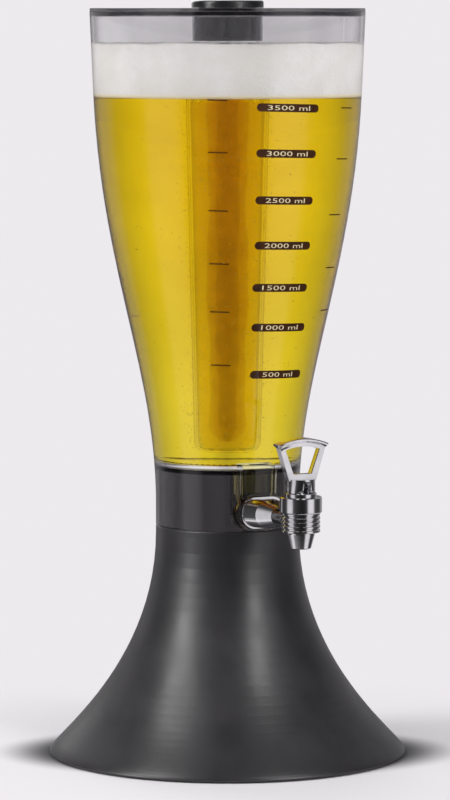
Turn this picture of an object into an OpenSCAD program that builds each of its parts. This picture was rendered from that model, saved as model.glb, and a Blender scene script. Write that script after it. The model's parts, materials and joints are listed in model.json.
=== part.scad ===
// Beer tower dispenser: a clear vessel with an ice tube and a sprung tap, on a flared pedestal.
// Millimetres. The origin is the centre of the pedestal on the table, +Z is up and the tap points to -Y.

/* [Pedestal] */
// Radius of the foot at the table
foot_r = 121.4; // [112:0.2:130]
// Height of the shoulder that the vessel stands on
seat_z = 157; // [150:0.5:165]
// Wall of the flared shell
pedestal_wall = 3; // [2:0.1:4]
// Length of the straight collar under the shoulder
collar_h = 5; // [3:0.5:10]
// How far down the collar's line pulls the flare
collar_pull = 92; // [80:1:100]
// How far up the edge's line pulls the flare
edge_pull = 6.3; // [3:0.1:12]
// Rounding of the shoulder's outer edge
shoulder_round = 1.2; // [0.6:0.1:1.4]
// Rounding of the foot's lower edge
edge_round = 1.2; // [0.6:0.1:2]
// Thickness of the deck that closes the collar
deck_t = 3; // [2:0.1:4]
// Width of the flat land under the foot
land_w = 20; // [16:0.5:26]
// Thickness of that land
land_t = 3.2; // [2.6:0.1:4]
// Wall of the spigot inside the skirt
spigot_wall = 2.2; // [1.6:0.1:3]
// Gap between the spigot and the skirt
spigot_gap = 0.3; // [0.2:0.05:0.6]
// Gap between the spigot's top and the vessel's floor
spigot_headroom = 1.5; // [0.6:0.1:3]
// Sill under the spigot's notch
notch_sill = 0.8; // [0.5:0.1:1]
// Gap between the notch's sides and the outlet well
notch_side = 6.5; // [4:0.1:8]
// Rounding of the notch's lower corners
notch_round = 12; // [6:0.5:14]

/* [Foot pads] */
// Radius of one pad
pad_r = 5; // [3.5:0.1:6]
// Thickness of one pad
pad_t = 2; // [1.6:0.1:2.6]
// Depth of the recess that holds it
pad_recess = 1.2; // [0.8:0.1:1.4]
// Distance from the foot's edge to the pads' centres
pad_inset = 12; // [9:0.5:14]
// Gap round a pad in its recess
pad_gap = 0.2; // [0.1:0.05:0.3]
// Number of pads
pad_count = 6; // [4:1:8]

/* [Vessel] */
// Outer radius of the skirt and of the collar below it
neck_r = 48.7; // [47.5:0.1:52]
// Wall of the skirt
skirt_wall = 2; // [1.6:0.1:2.4]
// Height of the skirt under the vessel's floor
skirt_h = 41; // [38:0.5:46]
// Thickness of the vessel's floor
floor_t = 3; // [2:0.1:4]
// Height of the vessel, from the skirt's foot to the rim
vessel_h = 347; // [330:1:365]
// Outer radius where the straight lip begins
bowl_r = 90.5; // [86:0.2:95]
// How far the rim stands out from the lip's foot
lip_out = 2.3; // [1:0.1:4]
// Height of the straight lip
lip_h = 54; // [40:1:70]
// Height on the skirt at which the flare begins
flare_start = 15; // [8:1:25]
// How far up the skirt's line pulls the flare
neck_pull = 90; // [70:1:110]
// How far down the lip's line pulls the flare
bowl_pull = 122; // [100:1:140]
// Wall of the vessel
vessel_wall = 2.4; // [1.8:0.1:3]
// Rounding between the wall and the floor inside
floor_round = 5; // [2:0.5:8]
// Rounding of the rim
rim_round = 0.7; // [0.3:0.1:0.8]

/* [Outlet well] */
// Gap beside the lock nut's corners
nut_side = 0.6; // [0.4:0.1:1.5]
// Wall and floor of the well
well_wall = 1.8; // [1.4:0.1:2.2]
// Gap between the well and the notch's sill
well_gap = 0.6; // [0.4:0.1:1]
// Room behind the shank's end
shank_room = 5; // [3:0.5:8]
// Rounding of the well's rear corners
well_round = 4; // [2:0.5:6]
// Rounding of the well's lower corners
well_low_round = 6; // [3:0.5:6.5]
// How far the flat boss stands proud of the skirt
boss_proud = 0.9; // [0.5:0.1:2]
// Margin of the boss round the flange
boss_margin = 2; // [1:0.1:2.2]
// Wall between the boss's face and the well
boss_wall = 4.4; // [4:0.1:5]

/* [Lid] */
// Thickness of the lid's disc
lid_t = 1.8; // [1.4:0.1:2.6]
// Step of the lid's edge inside the rim's edge
lid_step = 0.1; // [0:0.05:0.4]
// Height of the lid's locating ring
lid_ring_h = 3.5; // [2.5:0.1:5]
// Wall of the locating ring
lid_ring_wall = 1.8; // [1.2:0.1:2.4]
// Gap between the locating ring and the vessel's wall
lid_gap = 0.5; // [0.4:0.05:0.8]
// Depth of the lid's centre collar under the disc
lid_collar_h = 20; // [14:0.5:24]
// Wall of the centre collar
lid_collar_wall = 1.8; // [1.2:0.1:2.4]

/* [Ice tube] */
// Outer radius of the tube's upper, straight part
tube_r = 21.8; // [20:0.1:23]
// Outer radius at the tube's foot
tube_tip_r = 17; // [14:0.1:19]
// Wall of the tube
tube_wall = 2; // [1.6:0.1:2.4]
// Length of the straight part under the flange
tube_straight = 27; // [25:0.5:35]
// Gap between the tube's foot and the vessel's floor
tube_foot_gap = 7; // [5:0.5:15]
// Rounding of the tube's foot
tube_foot_round = 8; // [5:0.5:12]
// How far the flange reaches past the tube
tube_flange = 1.4; // [1:0.1:1.8]
// Thickness of the flange
tube_flange_t = 1.6; // [1.2:0.1:2]
// Gap between the tube and the lid's collar
tube_gap = 0.3; // [0.2:0.05:0.5]

/* [Tube cap] */
// Wall of the cap's skirt round the flange
cap_wall = 0.8; // [0.6:0.1:1.4]
// Gap between the flange and the cap's skirt
cap_gap = 0.3; // [0.2:0.05:0.5]
// Gap between the cap's skirt and the lid
cap_lift = 0.3; // [0.2:0.05:0.5]
// Thickness of the cap's top
cap_t = 3.6; // [2.6:0.1:5]
// Rounding of the cap's top edge
cap_round = 1.6; // [0.8:0.1:2.2]
// Length of the plug inside the tube
plug_h = 21; // [16:0.5:24]
// Wall of the plug
plug_wall = 3.4; // [3.1:0.1:4]
// Gap between the plug and the tube's bore
plug_gap = 0.3; // [0.2:0.05:0.4]
// Distance from the flange's top down to the seal
cap_seal_drop = 7; // [4:0.5:10]
// Thickness of the cap's seal ring
cap_seal_d = 2; // [1.6:0.1:2.2]
// Running gap between the seal ring and the bore
seal_fit = 0.05; // [0.02:0.01:0.09]

/* [Shank] */
// Height of the shank's axis above the shoulder
shank_up = 13; // [13:0.1:14]
// Radius of the shank's thread
shank_r = 6; // [5:0.1:6.5]
// Depth of the thread
thread_depth = 0.6; // [0.3:0.05:0.8]
// Pitch of the thread
thread_pitch = 1.5; // [1:0.25:2]
// Gap between the shank and what it passes through
shank_gap = 0.2; // [0.1:0.05:0.3]
// Bore of the shank and the barrel
barrel_bore_r = 3.5; // [2.5:0.1:3.9]
// Half height of the flange
flange_half_h = 10.5; // [9:0.1:10.6]
// Half width of the flange
flange_half_w = 16.4; // [13:0.1:17]
// Thickness of the flange
flange_t = 2; // [1.5:0.1:3]
// Thickness of the gasket under the flange
gasket_t = 1.5; // [1:0.1:2]
// How far the gasket stays inside the flange's edge
gasket_inset = 0.4; // [0.2:0.1:1]
// Thickness of the washer inside the well
washer_t = 1.6; // [1:0.1:2]
// Width across flats of the lock nut
nut_af = 19; // [17:0.1:19.2]
// Height of the lock nut
nut_h = 6; // [5:0.1:7]
// How far the shank shows past the nut
shank_end = 1.6; // [1:0.1:3]

/* [Tap body] */
// Distance from the boss's face to the tap's axis
tap_reach = 56.4; // [52:0.2:58]
// Radius of the barrel where it meets the body
barrel_r = 6; // [5.2:0.1:6.4]
// Length of the domed part in front of the flange
dome_len = 22; // [18:0.5:25]
// Radius of the ribbed body
body_r = 12.85; // [12.4:0.05:14]
// Height of the body above the shank's axis
body_up = 6; // [6:0.1:7]
// Depth of the body below the shank's axis
body_down = 7; // [6.6:0.1:8]
// Number of ribs
rib_count = 5; // [3:1:6]
// Width of the grooves between the ribs
groove_w = 1; // [0.6:0.05:1.2]
// Depth of those grooves
groove_depth = 0.9; // [0.4:0.05:1.2]
// Radius of the valve chamber
chamber_r = 8.5; // [8:0.1:9]
// Depth of the chamber's floor below the shank's axis
chamber_down = 4.5; // [4:0.1:5]
// Radius of the outlet under the chamber
outlet_r = 4.5; // [3.8:0.1:4.9]
// Radius of the neck that takes the bonnet
body_neck_r = 10.5; // [10:0.1:11]
// Height of that neck
body_neck_h = 6; // [4:0.1:7]
// Radius of the nipple that takes the spout
nipple_r = 6.5; // [6:0.1:7]
// Length of the nipple
nipple_h = 4.2; // [3:0.1:5]

/* [Bonnet] */
// Radius of the bonnet
bonnet_r = 14; // [13.3:0.1:15]
// Height of the bonnet's wide part
bonnet_h = 10.5; // [9.8:0.1:12]
// Radius of the bonnet's top
bonnet_top_r = 10.5; // [9.8:0.1:11]
// Height of the bonnet's top
bonnet_top_h = 2.5; // [2:0.1:4]
// Gap between the bonnet and the body's neck
bonnet_gap = 0.15; // [0.1:0.05:0.25]
// Thickness of the roof over the spring
roof_t = 5; // [4.4:0.1:5.4]
// Radius of the pocket for the spring
pocket_r = 7.5; // [7:0.1:8]
// Thickness of the seal ring under the bonnet
bonnet_seal_d = 1.5; // [1.2:0.1:1.6]
// Thickness of the seal ring round the stem
stem_seal_d = 1.8; // [1.5:0.1:2]
// Gap round a seal ring in its groove
groove_gap = 0.1; // [0.05:0.05:0.2]

/* [Stem and spring] */
// Radius of the stem
stem_r = 2.5; // [2.2:0.1:2.8]
// Running gap between the stem and the bonnet
stem_fit = 0.08; // [0.03:0.01:0.1]
// Radius of the stem's collar
stem_collar_r = 7; // [6.6:0.1:7.2]
// Thickness of the stem's collar
stem_collar_t = 1.5; // [1:0.1:2]
// Radius of the stem's eye
eye_r = 2.9; // [2.7:0.1:3.2]
// Radius of the seat cup
cup_r = 6.2; // [5.7:0.1:6.6]
// Height of the seat cup
cup_h = 4; // [3.4:0.1:4.4]
// How far the stem's barb reaches past the stem
barb = 0.9; // [0.5:0.1:1.2]
// Gap between the barb and the cup
barb_gap = 0.1; // [0.05:0.05:0.2]
// Wire thickness of the spring
wire_d = 1.2; // [0.9:0.1:1.4]
// Middle radius of the spring
spring_r = 5.4; // [4.6:0.1:5.8]
// Turns of the spring
spring_turns = 5; // [3:0.5:6]

/* [Lever] */
// Gap between the lever's foot and the bonnet
foot_gap = 0.1; // [0.05:0.05:0.3]
// Height of the pivot pin above the lever's foot, which is also the cam's radius
cam_r = 4.5; // [4.2:0.1:5]
// Half length of the lever's flat foot, which sets the stem's lift
cam_flat = 5; // [4:0.1:5.2]
// Height of the lever's hub
hub_h = 9; // [8.4:0.1:10]
// Radius of the pivot pin
pin_r = 1.5; // [1.2:0.05:1.6]
// Running gap between the pin and the stem's eye
pin_fit = 0.05; // [0.02:0.01:0.1]
// Gap between the pin and the lever's cheeks
pin_seat = 0.02; // [0.01:0.01:0.04]
// How far the pin's ends stay inside the hub
pin_sunk = 0.3; // [0.1:0.1:1]
// Gap beside the stem's eye
eye_gap = 0.2; // [0.1:0.05:0.4]
// Gap in front, behind and above the stem's eye
eye_room = 0.5; // [0.4:0.05:0.8]
// Height of the handle above the hub
handle_h = 27; // [24:0.5:32]
// Half width of the handle's frame at the hub
handle_low = 10; // [9:0.1:11]
// Half width of the handle's frame at the top
handle_high = 16.8; // [14:0.1:19]
// Width of the frame's bars
handle_bar = 3.3; // [2.6:0.1:4]
// Thickness of the frame
handle_t = 5.5; // [4.5:0.1:6.5]
// Thickness of the flared top lip
lip_t = 12; // [9:0.5:14]
// Height of the flared top lip
lip_depth = 5.4; // [4.5:0.1:7]
// Rise of the arched top from its corners to its middle
arch_rise = 3.6; // [2.5:0.1:5]

/* [Spout] */
// Radius of the spout's top
spout_top_r = 9.4; // [8.6:0.1:10]
// Radius of the spout's mouth
spout_tip_r = 6.9; // [6.4:0.1:7.5]
// Length of the spout
spout_h = 11; // [9:0.5:16]
// Radius of the spout's bore
spout_bore_r = 4.75; // [4.5:0.05:5]
// Gap between the spout and the nipple
spout_gap = 0.1; // [0.05:0.05:0.2]
// Thickness of the washer inside the spout
spout_washer_t = 1; // [0.8:0.1:1.4]

/* [Hidden] */
$fn = 96;
CURVE_STEPS = 26;
ARC_STEPS = 6;
CUT = 1;

rim_gap = pad_t - pad_recess;
flare_foot_z = rim_gap + edge_round;
flare_top_z = seat_z - collar_h;
skirt_in_r = neck_r - skirt_wall;
spigot_r = skirt_in_r - spigot_gap;
floor_z = seat_z + skirt_h;
floor_top = floor_z + floor_t;
spigot_top = floor_z - spigot_headroom;
rim_r = bowl_r + lip_out;
rim_z = seat_z + vessel_h;
bowl_z = rim_z - lip_h;

shank_z = seat_z + shank_up;
boss_y = neck_r + boss_proud;
well_face_y = boss_y - boss_wall;
flange_y = boss_y + gasket_t;
tap_y = boss_y + tap_reach;
washer_y = well_face_y - washer_t;
nut_y = washer_y - nut_h;
shank_tip_y = nut_y - shank_end;
well_back_y = shank_tip_y - shank_room;
nut_corner_r = nut_af / 2 / cos(30);
well_half = ceil(10 * (nut_corner_r + nut_side)) / 10;
notch_z = seat_z + notch_sill;
notch_half = well_half + well_wall + notch_side;
well_z = notch_z + well_gap + well_wall;

lid_z = rim_z;
lid_top = lid_z + lid_t;
hole_r = tube_r + tube_gap;
tube_z = floor_top + tube_foot_gap;
tube_top = lid_top + tube_flange_t;
tube_bore_r = tube_r - tube_wall;
flange_r = tube_r + tube_flange;
cap_r = flange_r + cap_gap + cap_wall;
plug_r = tube_bore_r - plug_gap;
cap_seal_z = tube_top - cap_seal_drop;

chamber_z = shank_z - chamber_down;
body_top_z = shank_z + body_up;
body_low_z = shank_z - body_down;
body_neck_z = body_top_z + body_neck_h;
bonnet_step_z = body_top_z + bonnet_h;
bonnet_z = bonnet_step_z + bonnet_top_h;
roof_z = bonnet_z - roof_t;
cup_top_z = chamber_z + cup_h;
spring_z = cup_top_z + stem_collar_t;
stem_seal_z = bonnet_z - roof_t / 2;
lever_z = bonnet_z + foot_gap;
pin_z = lever_z + cam_r;
hub_r = cam_flat + cam_r;
hub_z = lever_z + hub_h;
handle_z = hub_z + handle_h;
eye_half = stem_r;
nipple_z = body_low_z - nipple_h;
spout_z = body_low_z - spout_h;

// A point on the curve from a to d that leaves a towards b and reaches d from c.
function curve_point(a, b, c, d, t) =
    pow(1 - t, 3) * a + 3 * pow(1 - t, 2) * t * b + 3 * (1 - t) * t * t * c + pow(t, 3) * d;

function curve(a, b, c, d) = [for (i = [0:CURVE_STEPS]) curve_point(a, b, c, d, i / CURVE_STEPS)];

// Points of a round from one angle to another, about a centre in an outline.
function arc(x, z, r, from, to) =
    [for (i = [0:ARC_STEPS]) let (a = from + (to - from) * i / ARC_STEPS) [x + r * cos(a), z + r * sin(a)]];

function reversed(list) = [for (i = [len(list) - 1:-1:0]) list[i]];

pedestal_line = curve(
    [foot_r, flare_foot_z],
    [foot_r, flare_foot_z + edge_pull],
    [neck_r, flare_top_z - collar_pull],
    [neck_r, flare_top_z]
);

vessel_line = concat(
    [[neck_r, seat_z]],
    curve(
        [neck_r, seat_z + flare_start],
        [neck_r, seat_z + flare_start + neck_pull],
        [bowl_r - bowl_pull * lip_out / lip_h, bowl_z - bowl_pull],
        [bowl_r, bowl_z]
    ),
    [[rim_r, rim_z]]
);

// Outer radius of the vessel at a height.
function vessel_r(z) = lookup(z, [for (p = vessel_line) [p[1], p[0]]]);

// An outline with two rounded lower corners, from the origin up to a height.
module u_shape(half, height, corner) {
    translate([-half, corner]) square([2 * half, height - corner]);
    translate([corner - half, 0]) square([2 * (half - corner), 2 * corner]);
    for (side = [-1, 1]) translate([side * (half - corner), corner]) circle(r = corner);
}

// A slot shape: two half rounds joined by straight sides.
module oval(half_w, half_h) {
    square([2 * (half_w - half_h), 2 * half_h], center = true);
    for (side = [-1, 1]) translate([side * (half_w - half_h), 0]) circle(r = half_h);
}

// Things along the shank: their outline faces -Y, from the distance near to the distance far.
module along_shank(near, far) {
    translate([0, -near, shank_z]) rotate([90, 0, 0]) linear_extrude(far - near) children();
}

// Turned pieces of the tap, drawn at their real height.
module on_tap_axis() {
    translate([0, -tap_y, 0]) rotate_extrude() children();
}

module seal_ring(middle_r, z, thickness) {
    translate([0, 0, z]) rotate_extrude() translate([middle_r, 0]) circle(d = thickness, $fn = 32);
}

module at_pads() {
    for (i = [0:pad_count - 1]) rotate((i + 0.5) * 360 / pad_count) translate([0, pad_inset - foot_r, 0]) children();
}

module pedestal_shell() {
    inner_line = [for (p = pedestal_line) if (p[1] > rim_gap + land_t + 2) [p[0] - pedestal_wall, p[1]]];
    spigot_in_r = spigot_r - spigot_wall;
    rotate_extrude() polygon(concat(
        [[foot_r - land_w, rim_gap]],
        arc(foot_r - edge_round, flare_foot_z, edge_round, -90, -15),
        pedestal_line,
        arc(neck_r - shoulder_round, seat_z - shoulder_round, shoulder_round, 0, 90),
        [[spigot_r, seat_z], [spigot_r, spigot_top - 0.6], [spigot_r - 0.6, spigot_top]],
        [[spigot_in_r, spigot_top], [spigot_in_r, seat_z], [0, seat_z], [0, seat_z - deck_t]],
        [[neck_r - pedestal_wall, seat_z - deck_t]],
        reversed(inner_line),
        [[inner_line[0][0], rim_gap + land_t], [foot_r - land_w, rim_gap + land_t]]
    ));
}

module pedestal() color("#3a393b") difference() {
    pedestal_shell();
    translate([0, -(spigot_r - spigot_wall) + 6, notch_z]) rotate([90, 0, 0])
        linear_extrude(spigot_wall + 6 + CUT) u_shape(notch_half, skirt_h, notch_round);
    at_pads() translate([0, 0, rim_gap - CUT]) cylinder(r = pad_r + pad_gap, h = pad_recess + CUT);
}

module foot_pads() color("#1d1d1f") at_pads() cylinder(r = pad_r, h = pad_t);

module vessel_outside() {
    rotate_extrude() polygon(concat(
        [[0, seat_z], [neck_r - 0.4, seat_z], [neck_r, seat_z + 0.4]],
        [for (i = [1:len(vessel_line) - 2]) vessel_line[i]],
        arc(rim_r - rim_round, rim_z - rim_round, rim_round, 0, 90),
        [[0, rim_z]]
    ));
    intersection() {
        along_shank(well_face_y, boss_y) oval(flange_half_w + boss_margin, flange_half_h + boss_margin);
        translate([0, 0, seat_z]) cylinder(r = boss_y + flange_half_w, h = skirt_h);
    }
}

module vessel_inside() {
    wall_foot = floor_top + floor_round;
    foot_in_r = vessel_r(wall_foot) - vessel_wall;
    rotate_extrude() polygon(concat(
        [[0, floor_top]],
        arc(foot_in_r - floor_round, wall_foot, floor_round, -90, 0),
        [for (p = vessel_line) if (p[1] > wall_foot + CUT && p[1] < rim_z) [p[0] - vessel_wall, p[1]]],
        [[rim_r - vessel_wall, rim_z], [rim_r - vessel_wall, rim_z + CUT], [0, rim_z + CUT]]
    ));
    translate([0, 0, seat_z - CUT]) cylinder(r = skirt_in_r, h = skirt_h + CUT);
}

// The room in the well, or its outside where it is grown by the wall. It is open towards -Y.
module well_room(grow) {
    half = well_half + grow;
    back_y = well_back_y - grow;
    low_z = well_z - grow;
    height = floor_top - low_z + CUT;
    intersection() {
        translate([0, -back_y, low_z]) rotate(180) linear_extrude(height)
            u_shape(half, neck_r - back_y, well_round + grow);
        translate([0, CUT - back_y, low_z]) rotate([90, 0, 0]) linear_extrude(neck_r - back_y + CUT)
            u_shape(half, height, well_low_round + grow);
    }
}

module vessel() color([0.86, 0.88, 0.9, 0.35]) difference() {
    union() {
        difference() {
            vessel_outside();
            vessel_inside();
        }
        intersection() {
            well_room(well_wall);
            translate([0, 0, seat_z]) cylinder(r = neck_r - skirt_wall / 2, h = skirt_h + floor_t / 2);
        }
    }
    intersection() {
        well_room(0);
        translate([-neck_r, -well_face_y, seat_z]) cube([2 * neck_r, well_face_y, skirt_h + floor_t + CUT]);
    }
    along_shank(well_face_y - CUT, boss_y + CUT) circle(r = shank_r + shank_gap);
}

module lid() color([0.5, 0.5, 0.52, 0.6]) rotate_extrude() {
    lid_r = rim_r - lid_step;
    ring_r = rim_r - vessel_wall - lid_gap;
    polygon(concat(
        [[hole_r, lid_z - lid_collar_h], [hole_r + lid_collar_wall, lid_z - lid_collar_h]],
        [[hole_r + lid_collar_wall, lid_z], [ring_r - lid_ring_wall, lid_z]],
        [[ring_r - lid_ring_wall, lid_z - lid_ring_h], [ring_r - 0.5, lid_z - lid_ring_h]],
        [[ring_r, lid_z - lid_ring_h + 0.5], [ring_r, lid_z], [lid_r, lid_z]],
        arc(lid_r - lid_t / 3, lid_top - lid_t / 3, lid_t / 3, 0, 90),
        [[hole_r, lid_top]]
    ));
}

module ice_tube() color([0.86, 0.88, 0.9, 0.35]) rotate_extrude() {
    inner_round = tube_foot_round - tube_wall;
    round_z = tube_z + tube_foot_round;
    polygon(concat(
        [[0, tube_z]],
        arc(tube_tip_r - tube_foot_round, round_z, tube_foot_round, -90, 0),
        [[tube_r, lid_top - tube_straight], [tube_r, lid_top], [flange_r, lid_top]],
        arc(flange_r - 0.4, tube_top - 0.4, 0.4, 0, 90),
        [[tube_bore_r, tube_top], [tube_bore_r, lid_top - tube_straight]],
        arc(tube_tip_r - tube_foot_round, round_z, inner_round, 0, -90),
        [[0, tube_z + tube_wall]]
    ));
}

module tube_cap() color("#161617") rotate_extrude() {
    skirt_z = lid_top + cap_lift;
    recess_r = flange_r + cap_gap;
    plug_z = tube_top - plug_h;
    groove_r = tube_bore_r - seal_fit - cap_seal_d - groove_gap;
    groove_half = cap_seal_d / 2 + groove_gap;
    polygon(concat(
        [[plug_r - plug_wall, plug_z], [plug_r - 0.8, plug_z], [plug_r, plug_z + 0.8]],
        [[plug_r, cap_seal_z - groove_half], [groove_r, cap_seal_z - groove_half]],
        [[groove_r, cap_seal_z + groove_half], [plug_r, cap_seal_z + groove_half]],
        [[plug_r, tube_top], [recess_r, tube_top], [recess_r, skirt_z], [cap_r, skirt_z]],
        arc(cap_r - cap_round, tube_top + cap_t - cap_round, cap_round, 0, 90),
        [[0, tube_top + cap_t], [0, tube_top], [plug_r - plug_wall, tube_top]]
    ));
}

module cap_seal() color("#e4e2dc")
    seal_ring(tube_bore_r - seal_fit - cap_seal_d / 2, cap_seal_z, cap_seal_d);

module shank_thread() {
    turns = floor((well_face_y + gasket_t - shank_tip_y) / thread_pitch);
    translate([0, -flange_y, shank_z]) rotate([-90, 0, 0]) rotate_extrude() polygon(concat(
        [[0, 0], [shank_r, 0], [shank_r, boss_y - well_face_y + gasket_t]],
        [for (i = [0:turns - 1], k = [0, 1])
            [shank_r - k * thread_depth, flange_y - shank_tip_y - (turns - i - k / 2) * thread_pitch]],
        [[shank_r - thread_depth, flange_y - shank_tip_y], [0, flange_y - shank_tip_y]]
    ));
}

// The body's outline from the nipple up over the ribs to the neck.
module body_profile() {
    pitch = (body_up + body_down + groove_w) / rib_count;
    ribs = [for (i = [0:rib_count - 1]) let (z = body_low_z + i * pitch, top = z + pitch - groove_w, edge = 0.3)
        each [[body_r - groove_depth, z], [body_r - edge, z], [body_r, z + edge], [body_r, top - edge],
            [body_r - edge, top], [body_r - groove_depth, top]]];
    polygon(concat(
        [[0, nipple_z], [nipple_r - 0.4, nipple_z], [nipple_r, nipple_z + 0.4], [nipple_r, body_low_z]],
        ribs,
        [[body_neck_r, body_top_z], [body_neck_r, body_neck_z - 0.4], [body_neck_r - 0.4, body_neck_z]],
        [[0, body_neck_z]]
    ));
}

// The flange swells out of its edge and narrows to the barrel.
module barrel_dome() {
    half_dome = flange_y + flange_t + dome_len / 2;
    hull() {
        along_shank(flange_y + flange_t - 0.5, flange_y + flange_t)
            oval(flange_half_w - 0.8, flange_half_h - 0.8, $fn = 48);
        along_shank(half_dome - 0.5, half_dome)
            oval((flange_half_w + barrel_r) / 2 + 0.6, (flange_half_h + barrel_r) / 2 + 0.9, $fn = 48);
        along_shank(flange_y + flange_t, flange_y + flange_t + dome_len) circle(r = barrel_r, $fn = 48);
    }
}

module tap_body() color("silver") difference() {
    union() {
        on_tap_axis() body_profile();
        along_shank(flange_y + flange_t, tap_y - chamber_r) circle(r = barrel_r);
        along_shank(flange_y, flange_y + flange_t) oval(flange_half_w, flange_half_h);
        barrel_dome();
        shank_thread();
    }
    on_tap_axis() polygon([
        [0, nipple_z - CUT], [outlet_r, nipple_z - CUT], [outlet_r, chamber_z], [chamber_r, chamber_z],
        [chamber_r, body_neck_z + CUT], [0, body_neck_z + CUT]
    ]);
    along_shank(shank_tip_y - CUT, tap_y) circle(r = barrel_bore_r);
}

module flange_gasket() color("#2a2a2c") along_shank(boss_y, flange_y) difference() {
    oval(flange_half_w - gasket_inset, flange_half_h - gasket_inset);
    circle(r = shank_r + shank_gap);
}

module inner_washer() color("#2a2a2c") along_shank(washer_y, well_face_y) difference() {
    circle(r = nut_af / 2);
    circle(r = shank_r + shank_gap);
}

module lock_nut() color("gainsboro") along_shank(nut_y, washer_y) difference() {
    circle(r = nut_corner_r, $fn = 6);
    circle(r = shank_r + shank_gap);
}

module bonnet() color("silver") on_tap_axis() {
    bore_r = body_neck_r + bonnet_gap;
    seal_room_r = bore_r + bonnet_seal_d + groove_gap;
    seal_room_z = body_top_z + bonnet_seal_d + groove_gap;
    stem_hole_r = stem_r + stem_fit;
    ring_r = stem_hole_r + stem_seal_d + groove_gap;
    ring_half = stem_seal_d / 2 + groove_gap;
    polygon([
        [seal_room_r, body_top_z], [bonnet_r - 0.5, body_top_z], [bonnet_r, body_top_z + 0.5],
        [bonnet_r, bonnet_step_z - 0.7], [bonnet_r - 0.7, bonnet_step_z],
        [bonnet_top_r, bonnet_step_z], [bonnet_top_r, bonnet_z - 0.4], [bonnet_top_r - 0.4, bonnet_z],
        [stem_hole_r, bonnet_z], [stem_hole_r, stem_seal_z + ring_half], [ring_r, stem_seal_z + ring_half],
        [ring_r, stem_seal_z - ring_half], [stem_hole_r, stem_seal_z - ring_half], [stem_hole_r, roof_z],
        [pocket_r, roof_z], [pocket_r, body_neck_z + bonnet_gap], [bore_r, body_neck_z + bonnet_gap],
        [bore_r, seal_room_z], [seal_room_r, seal_room_z]
    ]);
}

module bonnet_seal() color("#2a2a2c") translate([0, -tap_y, 0])
    seal_ring(body_neck_r + bonnet_gap / 2 + bonnet_seal_d / 2, body_top_z + bonnet_seal_d / 2, bonnet_seal_d);

module stem_seal() color("#2a2a2c") translate([0, -tap_y, 0])
    seal_ring(stem_r + stem_fit + stem_seal_d / 2, stem_seal_z, stem_seal_d);

// A wire wound up from the stem's collar to the bonnet's roof.
module spring() color("lightsteelblue") {
    sides = 8;
    turn_steps = 16;
    steps = ceil(spring_turns * turn_steps);
    rise = roof_z - spring_z - wire_d;
    pitch_angle = atan(rise / (spring_turns * 2 * PI * spring_r));
    points = [for (i = [0:steps], k = [0:sides - 1])
        let (turn = 360 * spring_turns * i / steps, a = 360 * k / sides)
        let (out = spring_r + wire_d / 2 * cos(a), up = wire_d / 2 * sin(a))
        [out * cos(turn) + up * sin(pitch_angle) * sin(turn),
            out * sin(turn) - up * sin(pitch_angle) * cos(turn),
            spring_z + wire_d / 2 + rise * i / steps + up * cos(pitch_angle)]];
    walls = [for (i = [0:steps - 1], k = [0:sides - 1])
        let (a = i * sides + k, b = i * sides + (k + 1) % sides)
        each [[a, a + sides, b], [b, a + sides, b + sides]]];
    ends = [[for (k = [0:sides - 1]) k], [for (k = [sides - 1:-1:0]) steps * sides + k]];
    translate([0, -tap_y, 0]) polyhedron(points, concat(walls, ends));
}

module stem() color("silver") difference() {
    union() {
        on_tap_axis() polygon([
            [0, chamber_z + 1], [stem_r + barb - 0.4, chamber_z + 1], [stem_r + barb, chamber_z + 1.4],
            [stem_r + barb, chamber_z + 2], [stem_r, chamber_z + 2], [stem_r, cup_top_z],
            [stem_collar_r, cup_top_z], [stem_collar_r, spring_z], [stem_r, spring_z],
            [stem_r, pin_z], [0, pin_z]
        ]);
        translate([0, -tap_y, pin_z]) rotate([0, 90, 0]) cylinder(r = eye_r, h = 2 * eye_half, center = true);
    }
    translate([0, -tap_y, pin_z]) rotate([0, 90, 0]) cylinder(r = pin_r + pin_fit, h = 4 * eye_half, center = true);
}

module seat_cup() color("#d9d7d0") on_tap_axis() {
    hole_r = stem_r + barb_gap;
    barb_r = stem_r + barb + barb_gap;
    polygon([
        [0, chamber_z], [cup_r - 0.6, chamber_z], [cup_r, chamber_z + 0.6], [cup_r - 0.4, cup_top_z],
        [hole_r, cup_top_z], [hole_r, chamber_z + 2 + barb_gap], [barb_r, chamber_z + 2 + barb_gap],
        [barb_r, chamber_z + 1 - barb_gap], [0, chamber_z + 1 - barb_gap]
    ]);
}

// Side view of the lever's hub: a flat foot between two quarter rounds about the pin's height.
module cam_side() {
    translate([-hub_r, 0]) square([2 * hub_r, hub_z - pin_z]);
    translate([-cam_flat, -cam_r]) square([2 * cam_flat, 2 * cam_r]);
    for (side = [-1, 1]) translate([side * cam_flat, 0]) circle(r = cam_r);
}

// The handle's frame from the front, drawn from the hub's top.
module handle_front() {
    top = handle_h - arch_rise - lip_depth / 2;
    difference() {
        polygon([[-handle_low, -CUT], [handle_low, -CUT], [handle_high, top], [-handle_high, top]]);
        polygon([
            [handle_bar - handle_low, handle_bar], [handle_low - handle_bar, handle_bar],
            [handle_high - handle_bar, top + CUT], [handle_bar - handle_high, top + CUT]
        ]);
    }
}

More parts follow.
